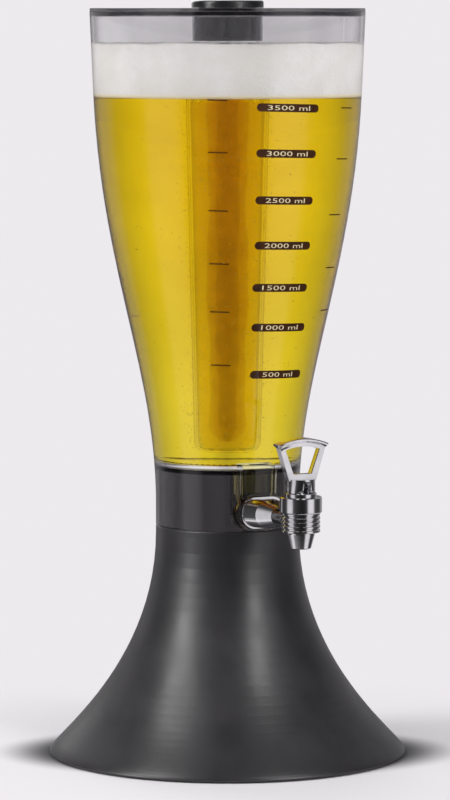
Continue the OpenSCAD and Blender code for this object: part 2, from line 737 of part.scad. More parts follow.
// The flared lip: a section swept on the arch.
module handle_lip() {
    half_w = handle_high + 0.8;
    arch_r = (half_w * half_w + arch_rise * arch_rise) / 2 / arch_rise;
    reach = asin(half_w / arch_r);
    foot = arch_r - lip_depth;
    turn = 120;
    translate([0, 0, handle_z - arch_r]) rotate([90, 0, 0]) rotate(90 - reach)
        rotate_extrude(angle = 2 * reach) polygon(concat(
            [[foot, -handle_t / 2], [foot + lip_depth * 0.45, -handle_t / 2 - 0.5]],
            arc(arch_r - 1.1, 1.1 - lip_t / 2, 1.1, -turn, 0),
            arc(arch_r - 1.1, lip_t / 2 - 1.1, 1.1, 0, turn),
            [[foot + lip_depth * 0.45, handle_t / 2 + 0.5], [foot, handle_t / 2]]
        ));
}

module lever() color("silver") translate([0, -tap_y, 0]) difference() {
    union() {
        intersection() {
            translate([0, 0, lever_z]) cylinder(r = hub_r, h = hub_h);
            translate([-hub_r, 0, pin_z]) rotate([90, 0, 90]) linear_extrude(2 * hub_r) cam_side();
        }
        translate([0, handle_t / 2, hub_z]) rotate([90, 0, 0]) linear_extrude(handle_t) handle_front();
        handle_lip();
    }
    translate([0, 0, pin_z]) rotate([0, 90, 0]) {
        cylinder(r = pin_r + pin_seat, h = 2 * hub_r + CUT, center = true);
        cylinder(r = eye_r + eye_room, h = 2 * (eye_half + eye_gap), center = true);
    }
    translate([-eye_half - eye_gap, -hub_r - CUT, lever_z - CUT])
        cube([2 * (eye_half + eye_gap), hub_r + CUT + eye_r + eye_room, cam_r + CUT]);
    translate([-eye_half - eye_gap, -hub_r - CUT, pin_z - CUT])
        cube([2 * (eye_half + eye_gap), hub_r + CUT, eye_r + eye_room + CUT]);
}

module pivot_pin() color("gainsboro") translate([0, -tap_y, pin_z]) rotate([0, 90, 0])
    cylinder(r = pin_r, h = 2 * (hub_r - pin_sunk), center = true);

module spout() color("silver") on_tap_axis() {
    socket_r = nipple_r + spout_gap;
    ledge_z = nipple_z - spout_washer_t;
    polygon([
        [spout_bore_r, spout_z], [spout_tip_r - 0.5, spout_z], [spout_tip_r, spout_z + 0.5],
        [spout_top_r, body_low_z - 1.2], [spout_top_r, body_low_z - 0.4], [spout_top_r - 0.4, body_low_z],
        [socket_r, body_low_z], [socket_r, ledge_z], [spout_bore_r, ledge_z]
    ]);
}

module spout_washer() color("#2a2a2c") on_tap_axis()
    polygon([
        [spout_bore_r, nipple_z - spout_washer_t], [nipple_r, nipple_z - spout_washer_t],
        [nipple_r, nipple_z], [spout_bore_r, nipple_z]
    ]);

pedestal();
foot_pads();
vessel();
lid();
ice_tube();
tube_cap();
cap_seal();
tap_body();
flange_gasket();
inner_washer();
lock_nut();
bonnet();
bonnet_seal();
stem_seal();
spring();
stem();
seat_cup();
lever();
pivot_pin();
spout();
spout_washer();
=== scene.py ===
import json
import math
import random

import bmesh
import bpy
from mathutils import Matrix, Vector

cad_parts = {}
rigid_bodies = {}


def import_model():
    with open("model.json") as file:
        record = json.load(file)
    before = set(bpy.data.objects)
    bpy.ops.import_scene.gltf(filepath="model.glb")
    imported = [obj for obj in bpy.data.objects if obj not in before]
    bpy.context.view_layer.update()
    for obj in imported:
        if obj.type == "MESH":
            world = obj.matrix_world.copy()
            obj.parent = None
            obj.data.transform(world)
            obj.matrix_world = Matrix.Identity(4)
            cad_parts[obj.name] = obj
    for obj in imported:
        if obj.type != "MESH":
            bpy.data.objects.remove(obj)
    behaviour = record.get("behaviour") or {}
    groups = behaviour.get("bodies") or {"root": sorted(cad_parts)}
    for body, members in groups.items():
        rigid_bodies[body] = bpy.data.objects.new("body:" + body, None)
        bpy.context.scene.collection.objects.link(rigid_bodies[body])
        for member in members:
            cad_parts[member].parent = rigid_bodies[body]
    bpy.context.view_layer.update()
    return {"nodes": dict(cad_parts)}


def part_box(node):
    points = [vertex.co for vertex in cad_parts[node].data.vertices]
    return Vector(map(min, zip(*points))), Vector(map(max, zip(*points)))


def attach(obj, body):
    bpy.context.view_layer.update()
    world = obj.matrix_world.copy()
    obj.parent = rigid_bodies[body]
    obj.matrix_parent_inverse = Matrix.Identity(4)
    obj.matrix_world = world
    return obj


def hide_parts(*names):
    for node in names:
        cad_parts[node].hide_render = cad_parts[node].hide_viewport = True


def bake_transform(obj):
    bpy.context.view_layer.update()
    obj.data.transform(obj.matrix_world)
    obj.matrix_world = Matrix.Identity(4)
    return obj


# Looks of a beer tower: clear vessel, beer and foam, ice tube, lid and cap, chrome tap, dark pedestal.
# Metres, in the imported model's frame: +Z is up and the tap points to -Y.

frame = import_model()
nodes = frame["nodes"]

MM = 0.001
# The camera: degrees round the object from its front, then metres; the shift is to the left in the picture.
CAMERA_AZIMUTH = -27.0
CAMERA_DISTANCE = 2.808
CAMERA_Z = 0.5047
AIM_Z = 0.2412
AIM_SHIFT = 1.7 * MM
LENS = 187.1
# The backdrop's colour, and the strength of the plain light all round.
BACKGROUND = (0.847, 0.823, 0.847)
PLAIN_LIGHT = 0.55
# Sides of a turned piece, and a radius beyond all the turned pieces.
TURN_STEPS = 128
BEYOND = 0.2


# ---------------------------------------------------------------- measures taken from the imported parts

def outer_line(node, low, high):
    """The greatest radius at each height of a turned node, as sorted (height, radius) pairs."""
    widest = {}
    for v in nodes[node].data.vertices:
        z = round(v.co.z, 5)
        if low <= z <= high:
            widest[z] = max(widest.get(z, 0.0), math.hypot(v.co.x, v.co.y))
    return sorted(widest.items())


def at_height(line, z):
    """The radius of a line of (height, radius) pairs at one height."""
    if z <= line[0][0]:
        return line[0][1]
    for (z0, r0), (z1, r1) in zip(line, line[1:]):
        if z <= z1:
            return r0 + (r1 - r0) * (z - z0) / max(z1 - z0, 1e-9)
    return line[-1][1]


def hull_of(line):
    """Keeps the points of a line that lie on a smooth outline and drops the others."""
    kept = [line[0]]
    for point in line[1:]:
        if point[1] > kept[-1][1] - 0.0004:
            kept.append(point)
    return kept


# The vessel's inside floor, rim and wall, and how high the beer and the foam stand in it.
FLOOR_TOP = 0.201
FLOOR_ROUND = 5 * MM
RIM_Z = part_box("vessel")[1].z
WALL = 2.4 * MM
BEER_TOP = 0.447
FOAM_TOP = 0.4825
# The outlet well under the floor.
WELL_HALF = 11.6 * MM
WELL_FRONT = -45.2 * MM
WELL_BACK = -31.0 * MM
WELL_LOW = 160.2 * MM
# The ice tube's outside at its foot and under its flange, and its wall.
TUBE_FOOT_Z, TUBE_FOOT_R = 0.216, 17.0 * MM
TUBE_TOP_Z, TUBE_TOP_R = 0.4788, 21.8 * MM
TUBE_WALL = 1.9 * MM
# How far contents reach into the wall round them, so that no film of air shows between.
LINK = 0.2 * MM
# Where the lever's handle begins over its hub, and the axis of the tap's stem.
HUB_TOP = 198.3 * MM
TAP_Y = (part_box("bonnet")[0].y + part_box("bonnet")[1].y) / 2
# The scale's ink: how far it stands out of the wall and goes into it. Its lines sink to the right.
INK_PROUD = 0.07 * MM
INK_SUNK = -0.05 * MM
FIGURES_PROUD = 0.12 * MM
FIGURES_SUNK = 0.02 * MM
PRINT_SLOPE = 0.028
# Two heights nearer than this are one.
SAME = 1e-7
vessel_line = hull_of(outer_line("vessel", 0.2, RIM_Z - 1.0 * MM))


def inside_r(z):
    """Radius of the vessel's inner wall at a height."""
    return at_height(vessel_line, z) - WALL


# ---------------------------------------------------------------- mesh helpers

def linked(name, data):
    """A new object in the scene that holds a mesh, a lamp or a camera."""
    piece = bpy.data.objects.new(name, data)
    bpy.context.scene.collection.objects.link(piece)
    return piece


def mesh_object(name, verts, faces):
    """A smooth object from lists of points and faces."""
    mesh = bpy.data.meshes.new(name)
    mesh.from_pydata([tuple(v) for v in verts], [], faces)
    mesh.validate()
    mesh.update()
    mesh.shade_smooth()
    return linked(name, mesh)


def from_bmesh(name, bm):
    """A new object from a bmesh, which is freed."""
    mesh = bpy.data.meshes.new(name)
    bm.to_mesh(mesh)
    bm.free()
    return linked(name, mesh)


def turned(name, outline, steps=TURN_STEPS):
    """A closed turned piece from (radius, height) pairs that start and end on the axis."""
    verts, faces, rings = [], [], []
    for r, z in outline:
        if r < 1e-6:
            rings.append([len(verts)])
            verts.append((0.0, 0.0, z))
            continue
        ring = []
        for i in range(steps):
            a = 2 * math.pi * i / steps
            ring.append(len(verts))
            verts.append((r * math.cos(a), r * math.sin(a), z))
        rings.append(ring)
    for low, high in zip(rings, rings[1:]):
        for i in range(steps):
            j = (i + 1) % steps
            if len(low) == 1:
                faces.append((low[0], high[i], high[j]))
            elif len(high) == 1:
                faces.append((low[i], low[j], high[0]))
            else:
                faces.append((low[i], low[j], high[j], high[i]))
    piece = mesh_object(name, verts, faces)
    outward(piece)
    return piece


def outward(piece):
    """Turns a closed piece's faces so that they look out."""
    bm = bmesh.new()
    bm.from_mesh(piece.data)
    bmesh.ops.recalc_face_normals(bm, faces=bm.faces)
    bm.to_mesh(piece.data)
    bm.free()


# ---------------------------------------------------------------- node helpers

class Nodes:
    """Short ways to add nodes to one tree."""

    def __init__(self, tree):
        self.tree = tree

    def add(self, kind, **settings):
        node = self.tree.nodes.new("ShaderNode" + kind)
        for key, value in settings.items():
            setattr(node, key, value)
        return node

    def feed(self, socket, value):
        if isinstance(value, bpy.types.NodeSocket):
            self.tree.links.new(value, socket)
        else:
            socket.default_value = value

    def maths(self, operation, a, b=0.0, clamp=False):
        node = self.add("Math", operation=operation, use_clamp=clamp)
        self.feed(node.inputs[0], a)
        self.feed(node.inputs[1], b)
        return node.outputs[0]

    def mix(self, share, a, b):
        node = self.add("Mix", data_type="RGBA")
        self.feed(node.inputs[0], share)
        self.feed(node.inputs[6], a)
        self.feed(node.inputs[7], b)
        return node.outputs[2]

    def span(self, value, low, high, to_low=0.0, to_high=1.0):
        node = self.add("MapRange", clamp=True, interpolation_type="SMOOTHSTEP")
        for i, v in enumerate((value, low, high, to_low, to_high)):
            self.feed(node.inputs[i], v)
        return node.outputs[0]

    def curve(self, value, points):
        node = self.add("FloatCurve")
        line = node.mapping.curves[0]
        line.points[0].location, line.points[1].location = points[0], points[-1]
        for x, y in points[1:-1]:
            line.points.new(x, y)
        node.mapping.update()
        self.feed(node.inputs["Value"], value)
        return node.outputs[0]

    def noise(self, where, scale, detail=3.0, roughness=0.5):
        node = self.add("TexNoise")
        self.feed(node.inputs["Vector"], where)
        self.feed(node.inputs["Scale"], scale)
        node.inputs["Detail"].default_value = detail
        node.inputs["Roughness"].default_value = roughness
        return node.outputs[0]

    def place(self):
        return self.add("TexCoord").outputs["Object"]

    def split(self, vector):
        node = self.add("SeparateXYZ")
        self.feed(node.inputs[0], vector)
        return node.outputs

    def reach(self, a, b):
        """The length of a level vector with these two parts."""
        squares = self.maths("ADD", self.maths("POWER", a, 2.0), self.maths("POWER", b, 2.0))
        return self.maths("POWER", squares, 0.5)


def group(name, inputs, outputs):
    """A new shader node group with its sockets; gives the tree, its helper, and its two ends."""
    tree = bpy.data.node_groups.new(name, "ShaderNodeTree")
    for label, kind, value in inputs:
        socket = tree.interface.new_socket(name=label, in_out="INPUT", socket_type="NodeSocket" + kind)
        if value is not None:
            socket.default_value = value
    for label, kind in outputs:
        tree.interface.new_socket(name=label, in_out="OUTPUT", socket_type="NodeSocket" + kind)
    start, end = tree.nodes.new("NodeGroupInput"), tree.nodes.new("NodeGroupOutput")
    return tree, Nodes(tree), start.outputs, end.inputs


def make_drift():
    """Slow change of colour over a surface, between two colours."""
    tree, n, given, out = group(
        "colour_drift",
        [("Light", "Color", (1, 1, 1, 1)), ("Dark", "Color", (0, 0, 0, 1)), ("Size", "Float", 30.0)],
        [("Color", "Color"), ("Mask", "Float")],
    )
    where = n.place()
    broad = n.noise(where, given["Size"], 4.0, 0.55)
    share = n.span(broad, 0.35, 0.68)
    n.feed(out["Color"], n.mix(share, given["Dark"], given["Light"]))
    n.feed(out["Mask"], share)
    return tree


def make_wear():
    """Mask of the convex edges that hands and cloths rub, broken up by noise."""
    tree, n, given, out = group(
        "edge_wear",
        [("Width", "Float", 0.0006), ("Break Up", "Float", 400.0)],
        [("Mask", "Float")],
    )
    bevel = n.add("Bevel", samples=6)
    n.feed(bevel.inputs["Radius"], given["Width"])
    flat = n.add("NewGeometry").outputs["Normal"]
    dot = n.add("VectorMath", operation="DOT_PRODUCT")
    n.feed(dot.inputs[0], bevel.outputs[0])
    n.feed(dot.inputs[1], flat)
    edge = n.span(n.maths("SUBTRACT", 1.0, dot.outputs["Value"]), 0.01, 0.16)
    rubbed = n.span(n.noise(n.place(), given["Break Up"], 5.0, 0.6), 0.34, 0.62)
    n.feed(out["Mask"], n.maths("MULTIPLY", edge, rubbed, clamp=True))
    return tree


def make_grain():
    """Fine grain of a moulded or cast skin: a height and a mask for the roughness."""
    tree, n, given, out = group(
        "skin_grain",
        [("Size", "Float", 1800.0), ("Waves", "Float", 60.0)],
        [("Height", "Float"), ("Mask", "Float")],
    )
    where = n.place()
    fine = n.noise(where, given["Size"], 3.0, 0.55)
    slow = n.noise(where, given["Waves"], 2.0, 0.4)
    n.feed(out["Height"], n.maths("ADD", fine, n.maths("MULTIPLY", slow, 0.8)))
    blend = n.maths("ADD", n.maths("MULTIPLY", fine, 0.35), n.maths("MULTIPLY", slow, 0.65))
    n.feed(out["Mask"], n.span(blend, 0.36, 0.64))
    return tree


def make_scuffs():
    """Thin wiping marks that run round the piece, and a few specks of dust."""
    tree, n, given, out = group(
        "wiping_marks",
        [("Length", "Float", 18.0), ("Fineness", "Float", 900.0)],
        [("Mask", "Float"), ("Dust", "Float")],
    )
    where = n.place()
    part = n.split(where)
    turn = n.maths("ARCTAN2", part[1], part[0])
    joined = n.add("CombineXYZ")
    n.feed(joined.inputs[0], n.maths("MULTIPLY", turn, given["Length"]))
    n.feed(joined.inputs[1], n.maths("MULTIPLY", part[2], given["Fineness"]))
    lines = n.noise(joined.outputs[0], 1.0, 2.0, 0.6)
    patches = n.span(n.noise(where, 24.0, 2.0, 0.5), 0.48, 0.72)
    n.feed(out["Mask"], n.maths("MULTIPLY", n.span(lines, 0.58, 0.74), patches))
    cells = n.add("TexVoronoi", feature="F1")
    n.feed(cells.inputs["Vector"], where)
    cells.inputs["Scale"].default_value = 330.0
    n.feed(out["Dust"], n.maths("MULTIPLY", n.span(cells.outputs["Distance"], 0.10, 0.04), patches))
    return tree


DRIFT, WEAR, GRAIN, SCUFFS = make_drift(), make_wear(), make_grain(), make_scuffs()


class Finish:
    """One material with its Principled shader and short ways to feed it; plain values go on the sockets."""

    def __init__(self, name, **plain):
        self.material = bpy.data.materials.new(name)
        self.material.use_nodes = True
        tree = self.material.node_tree
        tree.nodes.clear()
        self.n = Nodes(tree)
        self.out = self.n.add("OutputMaterial")
        self.shader = self.n.add("BsdfPrincipled")
        tree.links.new(self.shader.outputs[0], self.out.inputs["Surface"])
        for key, value in plain.items():
            self.shader.inputs[key.replace("_", " ")].default_value = value

    def use(self, tree, **values):
        node = self.n.add("Group", node_tree=tree)
        for key, value in values.items():
            self.n.feed(node.inputs[key.replace("_", " ")], value)
        return node.outputs

    def colour(self, value):
        self.n.feed(self.shader.inputs["Base Color"], value)

    def roughness(self, value):
        self.n.feed(self.shader.inputs["Roughness"], value)

    def bump(self, height, strength, distance):
        node = self.n.add("Bump")
        node.inputs["Strength"].default_value = strength
        node.inputs["Distance"].default_value = distance
        self.n.feed(node.inputs["Height"], height)
        self.n.feed(self.shader.inputs["Normal"], node.outputs[0])

    def let_light_pass(self, share):
        """Lets the lamps' light through a clear piece, as the real plastic does."""
        clear = self.n.add("BsdfTransparent")
        clear.inputs["Color"].default_value = (share, share, share, 1.0)
        mix = self.n.add("MixShader")
        self.n.feed(mix.inputs[0], self.n.add("LightPath").outputs["Is Shadow Ray"])
        self.n.tree.links.new(self.shader.outputs[0], mix.inputs[1])
        self.n.tree.links.new(clear.outputs[0], mix.inputs[2])
        self.n.tree.links.new(mix.outputs[0], self.out.inputs["Surface"])

    def absorb(self, colour, density):
        node = self.n.add("VolumeAbsorption")
        node.inputs["Color"].default_value = (*colour, 1.0)
        node.inputs["Density"].default_value = density
        self.n.tree.links.new(node.outputs[0], self.out.inputs["Volume"])


def rgb(r, g, b):
    return (r, g, b, 1.0)


# ---------------------------------------------------------------- finishes

def satin_pedestal():
    f = Finish("pedestal_satin", **{"IOR": 1.52})
    drift = f.use(DRIFT, Light=rgb(0.025, 0.0235, 0.0255), Dark=rgb(0.017, 0.016, 0.0175), Size=22.0)
    wear = f.use(WEAR, Width=0.0011, Break_Up=260.0)
    marks = f.use(SCUFFS, Length=14.0, Fineness=620.0)
    grain = f.use(GRAIN, Size=2600.0, Waves=34.0)
    worn = f.n.mix(wear["Mask"], drift["Color"], rgb(0.085, 0.083, 0.087))
    dusty = f.n.mix(f.n.maths("MULTIPLY", marks["Dust"], 0.35), worn, rgb(0.16, 0.155, 0.15))
    f.colour(dusty)
    rough = f.n.span(grain["Mask"], 0.0, 1.0, 0.31, 0.39)
    f.roughness(f.n.maths("ADD", rough, f.n.maths("MULTIPLY", marks["Mask"], 0.12), clamp=True))
    f.bump(grain["Height"], 0.32, 0.00012)
    return f.material


def zone(n, where, radii, heights, soft=0.0006):
    """Mask of the part of a turned piece between two radii and two heights."""
    def band(value, low, high):
        rise = n.span(value, low - soft, low + soft)
        return n.maths("MULTIPLY", rise, n.span(value, high + soft, high - soft))

    part = n.split(where)
    return n.maths("MULTIPLY", band(n.reach(part[0], part[1]), *radii), band(part[2], *heights))


def clear_plastic(name, ior, light, dark, edge_on_shade, lean_from, roughness, zones=(), bare=None, skirt=None):
    """Clear plastic with painted shade: its colour goes grey where the eye meets its wall edge on, and in its
    thick places.

    zones are (radii, heights, painted_tint), the tint being painted shade; bare are the heights with no
    painted grey at the edge, where foam stands behind;
    skirt are the heights at which the wall's colour goes nearly black edge on, a painted shade over the dark
    spigot.
    """
    f = Finish(name, **{"IOR": ior, "Transmission Weight": 1.0})
    n = f.n
    marks = f.use(SCUFFS, Length=20.0, Fineness=1500.0)
    grain = f.use(GRAIN, Size=900.0, Waves=26.0)
    drift = f.use(DRIFT, Light=rgb(*light), Dark=rgb(*dark), Size=9.0)
    lean = n.add("LayerWeight")
    lean.inputs["Blend"].default_value = 0.5
    edge = n.span(lean.outputs["Facing"], *lean_from)
    where = n.place()
    if bare:
        by_foam = zone(n, where, (0.0, BEYOND), bare, 0.0015)
        edge = n.maths("MULTIPLY", edge, n.maths("SUBTRACT", 1.0, by_foam))
    # Painted shade: the colour goes grey where the wall is seen edge on.
    colour = n.mix(edge, drift["Color"], rgb(*edge_on_shade))
    # Painted shade: each zone is tinted darker.
    for radii, heights, painted_tint in zones:
        colour = n.mix(zone(n, where, radii, heights), colour, rgb(*painted_tint))
    # Painted shade: the skirt's sides go nearly black edge on.
    if skirt:
        outside = zone(n, where, (0.0455, BEYOND), skirt)
        sides = n.maths("MULTIPLY", outside, n.span(lean.outputs["Facing"], 0.45, 0.66))
        colour = n.mix(sides, colour, rgb(0.02, 0.019, 0.021))
    f.colour(colour)
    rough = n.span(grain["Mask"], 0.0, 1.0, *roughness)
    f.roughness(n.maths("ADD", rough, n.maths("MULTIPLY", marks["Mask"], 0.03), clamp=True))
    f.bump(n.noise(n.place(), 55.0, 2.0, 0.45), 0.05, 0.0004)
    f.let_light_pass(0.9)
    return f.material


def beer():
    f = Finish("beer_liquid", **{"IOR": 1.0, "Transmission Weight": 1.0, "Roughness": 0.0})
    drift = f.use(DRIFT, Light=rgb(1.0, 1.0, 1.0), Dark=rgb(0.985, 0.98, 0.96), Size=18.0)
    f.colour(drift["Color"])
    f.absorb((0.9875, 0.925, 0.01), 40.0)
    return f.material


def tube_water():
    f = Finish("ice_tube_water", **{"IOR": 1.0, "Transmission Weight": 1.0, "Roughness": 0.0})
    drift = f.use(DRIFT, Light=rgb(1.0, 1.0, 1.0), Dark=rgb(0.96, 0.95, 0.93), Size=60.0)
    f.colour(drift["Color"])
    # Painted shade: the amber absorption stands in for the darker amber seen down the tube's middle.
    f.absorb((0.96, 0.82, 0.05), 50.0)
    return f.material


def tube_ice():
    f = Finish("ice_in_water", **{"IOR": 1.0, "Transmission Weight": 1.0, "Roughness": 0.0})
    drift = f.use(DRIFT, Light=rgb(0.98, 0.975, 0.96), Dark=rgb(0.90, 0.88, 0.84), Size=140.0)
    f.colour(drift["Color"])
    # Painted shade: the amber absorption stands in for the darker amber seen down the tube's middle.
    f.absorb((0.92, 0.80, 0.10), 60.0)
    return f.material


def foam_froth():
    f = Finish("foam_froth", **{"IOR": 1.33})
    n = f.n
    where = n.place()
    small, large = n.add("TexVoronoi", feature="SMOOTH_F1"), n.add("TexVoronoi", feature="SMOOTH_F1")
    for cells, scale in ((small, 1500.0), (large, 420.0)):
        n.feed(cells.inputs["Vector"], where)
        cells.inputs["Scale"].default_value = scale
    bubbles = n.maths("ADD", small.outputs["Distance"], n.maths("MULTIPLY", large.outputs["Distance"], 1.4))
    drift = f.use(DRIFT, Light=rgb(0.90, 0.885, 0.87), Dark=rgb(0.84, 0.82, 0.78), Size=40.0)
    level = n.split(where)[2]
    damp = n.span(level, BEER_TOP + 0.2 * MM, BEER_TOP + 3.0 * MM, 1.0, 0.0)
    pits = n.span(large.outputs["Distance"], 0.45, 0.9)
    body = n.mix(n.maths("MULTIPLY", pits, 0.25), drift["Color"], rgb(0.74, 0.70, 0.62))
    f.colour(n.mix(damp, body, rgb(0.90, 0.80, 0.52)))
    f.roughness(n.span(small.outputs["Distance"], 0.2, 0.9, 0.45, 0.75))
    f.bump(bubbles, 0.5, 0.0004)
    return f.material


def chrome_plate():
    f = Finish("chrome_plate", **{"Metallic": 1.0})
    drift = f.use(DRIFT, Light=rgb(0.86, 0.86, 0.875), Dark=rgb(0.74, 0.74, 0.76), Size=90.0)
    wear = f.use(WEAR, Width=0.0004, Break_Up=700.0)
    grain = f.use(GRAIN, Size=3000.0, Waves=160.0)
    marks = f.use(SCUFFS, Length=30.0, Fineness=2200.0)
    f.colour(f.n.mix(wear["Mask"], drift["Color"], rgb(0.62, 0.60, 0.57)))
    rough = f.n.span(grain["Mask"], 0.0, 1.0, 0.05, 0.10)
    worn = f.n.maths("ADD", rough, f.n.maths("MULTIPLY", wear["Mask"], 0.16))
    f.roughness(f.n.maths("ADD", worn, f.n.maths("MULTIPLY", marks["Mask"], 0.10), clamp=True))
    f.bump(grain["Height"], 0.05, 0.00006)
    return f.material


def drawn_steel():
    f = Finish("drawn_steel", **{"Metallic": 1.0})
    drift = f.use(DRIFT, Light=rgb(0.63, 0.63, 0.64), Dark=rgb(0.50, 0.50, 0.52), Size=220.0)
    wear = f.use(WEAR, Width=0.0003, Break_Up=900.0)
    grain = f.use(GRAIN, Size=4200.0, Waves=300.0)
    f.colour(f.n.mix(wear["Mask"], drift["Color"], rgb(0.74, 0.74, 0.75)))
    f.roughness(f.n.span(grain["Mask"], 0.0, 1.0, 0.20, 0.34))
    f.bump(grain["Height"], 0.12, 0.00006)
    return f.material


def moulded_cap():
    f = Finish("cap_black", **{"IOR": 1.5})
    drift = f.use(DRIFT, Light=rgb(0.014, 0.014, 0.015), Dark=rgb(0.008, 0.008, 0.009), Size=60.0)
    wear = f.use(WEAR, Width=0.0007, Break_Up=420.0)
    grain = f.use(GRAIN, Size=2400.0, Waves=80.0)
    marks = f.use(SCUFFS, Length=12.0, Fineness=1400.0)
    f.colour(f.n.mix(wear["Mask"], drift["Color"], rgb(0.055, 0.055, 0.058)))
    rough = f.n.span(grain["Mask"], 0.0, 1.0, 0.27, 0.36)
    f.roughness(f.n.maths("ADD", rough, f.n.maths("MULTIPLY", marks["Mask"], 0.15), clamp=True))
    f.bump(grain["Height"], 0.25, 0.00008)
    return f.material


def soft_rubber(name, light, dark, rough_low, rough_high):
    f = Finish(name, **{"IOR": 1.5})
    drift = f.use(DRIFT, Light=light, Dark=dark, Size=120.0)
    wear = f.use(WEAR, Width=0.0005, Break_Up=600.0)
    grain = f.use(GRAIN, Size=2800.0, Waves=140.0)
    rubbed = tuple(min(1.0, 1.6 * c + 0.01) for c in light[:3])
    f.colour(f.n.mix(f.n.maths("MULTIPLY", wear["Mask"], 0.7), drift["Color"], rgb(*rubbed)))
    f.roughness(f.n.span(grain["Mask"], 0.0, 1.0, rough_low, rough_high))
    f.bump(grain["Height"], 0.4, 0.0001)
    return f.material


def print_ink(name, light, dark):
    f = Finish(name, **{"IOR": 1.4, "Specular IOR Level": 0.2})
    drift = f.use(DRIFT, Light=light, Dark=dark, Size=240.0)
    grain = f.use(GRAIN, Size=3600.0, Waves=400.0)
    f.colour(drift["Color"])
    f.roughness(f.n.span(grain["Mask"], 0.0, 1.0, 0.38, 0.55))
    f.bump(grain["Height"], 0.2, 0.00004)
    return f.material


PEDESTAL = satin_pedestal()
CHROME = chrome_plate()
STEEL = drawn_steel()
CAP = moulded_cap()
PAD = soft_rubber("pad_rubber_black", rgb(0.024, 0.024, 0.024), rgb(0.014, 0.014, 0.014), 0.6, 0.8)
SEAL = soft_rubber("seal_rubber_black", rgb(0.022, 0.022, 0.023), rgb(0.013, 0.013, 0.014), 0.45, 0.62)
SILICONE = soft_rubber("silicone_white", rgb(0.78, 0.77, 0.73), rgb(0.68, 0.67, 0.62), 0.32, 0.5)
# The third colour given to each clear plastic is its painted shade where it is seen edge on.
CLEAR = clear_plastic(
    "vessel_clear", 1.49, (0.93, 0.925, 0.935), (0.80, 0.795, 0.805), (0.16, 0.155, 0.165),
    (0.60, 0.90), (0.0, 0.02),
    # Tinted darker as painted shade: the well and the inside of the skirt, the skirt, the ring under the
    # floor, and the rim.
    zones=[
        ((0.0, 0.044), (0.15, 0.2008), (0.45, 0.43, 0.46)),
        ((0.044, BEYOND), (0.15, 0.1952), (0.62, 0.60, 0.62)),
        ((0.044, BEYOND), (0.1952, 0.1995), (0.06, 0.055, 0.062)),
        ((0.085, 0.1), (0.5005, 0.51), (0.22, 0.215, 0.225)),
    ],
    # The skirt's heights take a painted near-black shade edge on.
    bare=(BEER_TOP, FOAM_TOP), skirt=(0.15, 0.1992),
)
# Faces on beer bend light as plastic against beer does, and the beer itself doesn't bend it once more.
CLEAR_WET = clear_plastic(
    "vessel_clear_on_beer", 1.12, (0.99, 0.985, 0.98), (0.96, 0.95, 0.93), (0.86, 0.85, 0.80),
    (0.7, 0.99), (0.0, 0.01),
)
TUBE_CLEAR = clear_plastic(
    "ice_tube_clear", 1.49, (0.93, 0.93, 0.94), (0.86, 0.86, 0.87), (0.45, 0.45, 0.46),
    (0.6, 0.95), (0.0, 0.02),
)
TUBE_WET = clear_plastic(
    "ice_tube_on_beer", 1.06, (0.985, 0.97, 0.945), (0.955, 0.94, 0.91), (0.78, 0.68, 0.50),
    (0.7, 0.99), (0.0, 0.01),
)
LID_CLEAR = clear_plastic(
    "lid_smoked", 1.49, (0.93, 0.93, 0.94), (0.88, 0.88, 0.89), (0.70, 0.70, 0.71),
    (0.7, 0.98), (0.0, 0.03),
    # Tinted darker as painted shade: the collar round the ice tube, and the disc's edge.
    zones=[
        ((0.0, 0.0262), (0.48, 0.5035), (0.20, 0.195, 0.205)),
        ((0.0905, 0.1), (0.5035, 0.51), (0.15, 0.147, 0.153)),
    ],
)
BEER, WATER, ICE, FROTH = beer(), tube_water(), tube_ice(), foam_froth()
INK = print_ink("scale_ink_brown", rgb(0.050, 0.017, 0.004), rgb(0.036, 0.011, 0.003))
INK_LIGHT = print_ink("scale_ink_cream", rgb(0.72, 0.62, 0.40), rgb(0.64, 0.54, 0.33))


def dress(node, material, wet=None, is_wet=None):
    """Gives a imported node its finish, and its faces that touch beer the wet one."""
    piece = nodes[node]
    piece.data.materials.clear()
    piece.data.materials.append(material)
    if wet is not None:
        piece.data.materials.append(wet)
        for face in piece.data.polygons:
            face.material_index = 1 if is_wet(face.center) else 0
    else:
        for face in piece.data.polygons:
            face.material_index = 0


def touches_beer(p):
    """True for the vessel's faces round the beer: the inner wall and floor, and the outlet well's room."""
    r = math.hypot(p.x, p.y)
    if FLOOR_TOP - 0.1 * MM < p.z < BEER_TOP + 1 * MM and r < inside_r(p.z) + 0.5 * MM:
        return True
    in_well = abs(p.x) < WELL_HALF + 0.3 * MM and WELL_FRONT - 0.3 * MM < p.y < WELL_BACK + 0.3 * MM
    return in_well and WELL_LOW - 0.1 * MM < p.z < FLOOR_TOP + 0.1 * MM


for finish, names in (
    (PEDESTAL, ("pedestal",)),
    (PAD, ("foot_pads",)),
    (CAP, ("tube_cap",)),
    (CHROME, ("tap_body", "lock_nut", "bonnet", "lever", "spout")),
    (STEEL, ("spring", "stem", "pivot_pin")),
    (SEAL, ("flange_gasket", "inner_washer", "bonnet_seal", "stem_seal", "spout_washer")),
    (SILICONE, ("cap_seal", "seat_cup")),
    (LID_CLEAR, ("lid",)),
):
    for name in names:
        dress(name, finish)
dress("vessel", CLEAR, CLEAR_WET, touches_beer)
dress("ice_tube", TUBE_CLEAR, TUBE_WET, lambda p: p.z < BEER_TOP + 1 * MM)


# ---------------------------------------------------------------- the beer, its foam and the ice

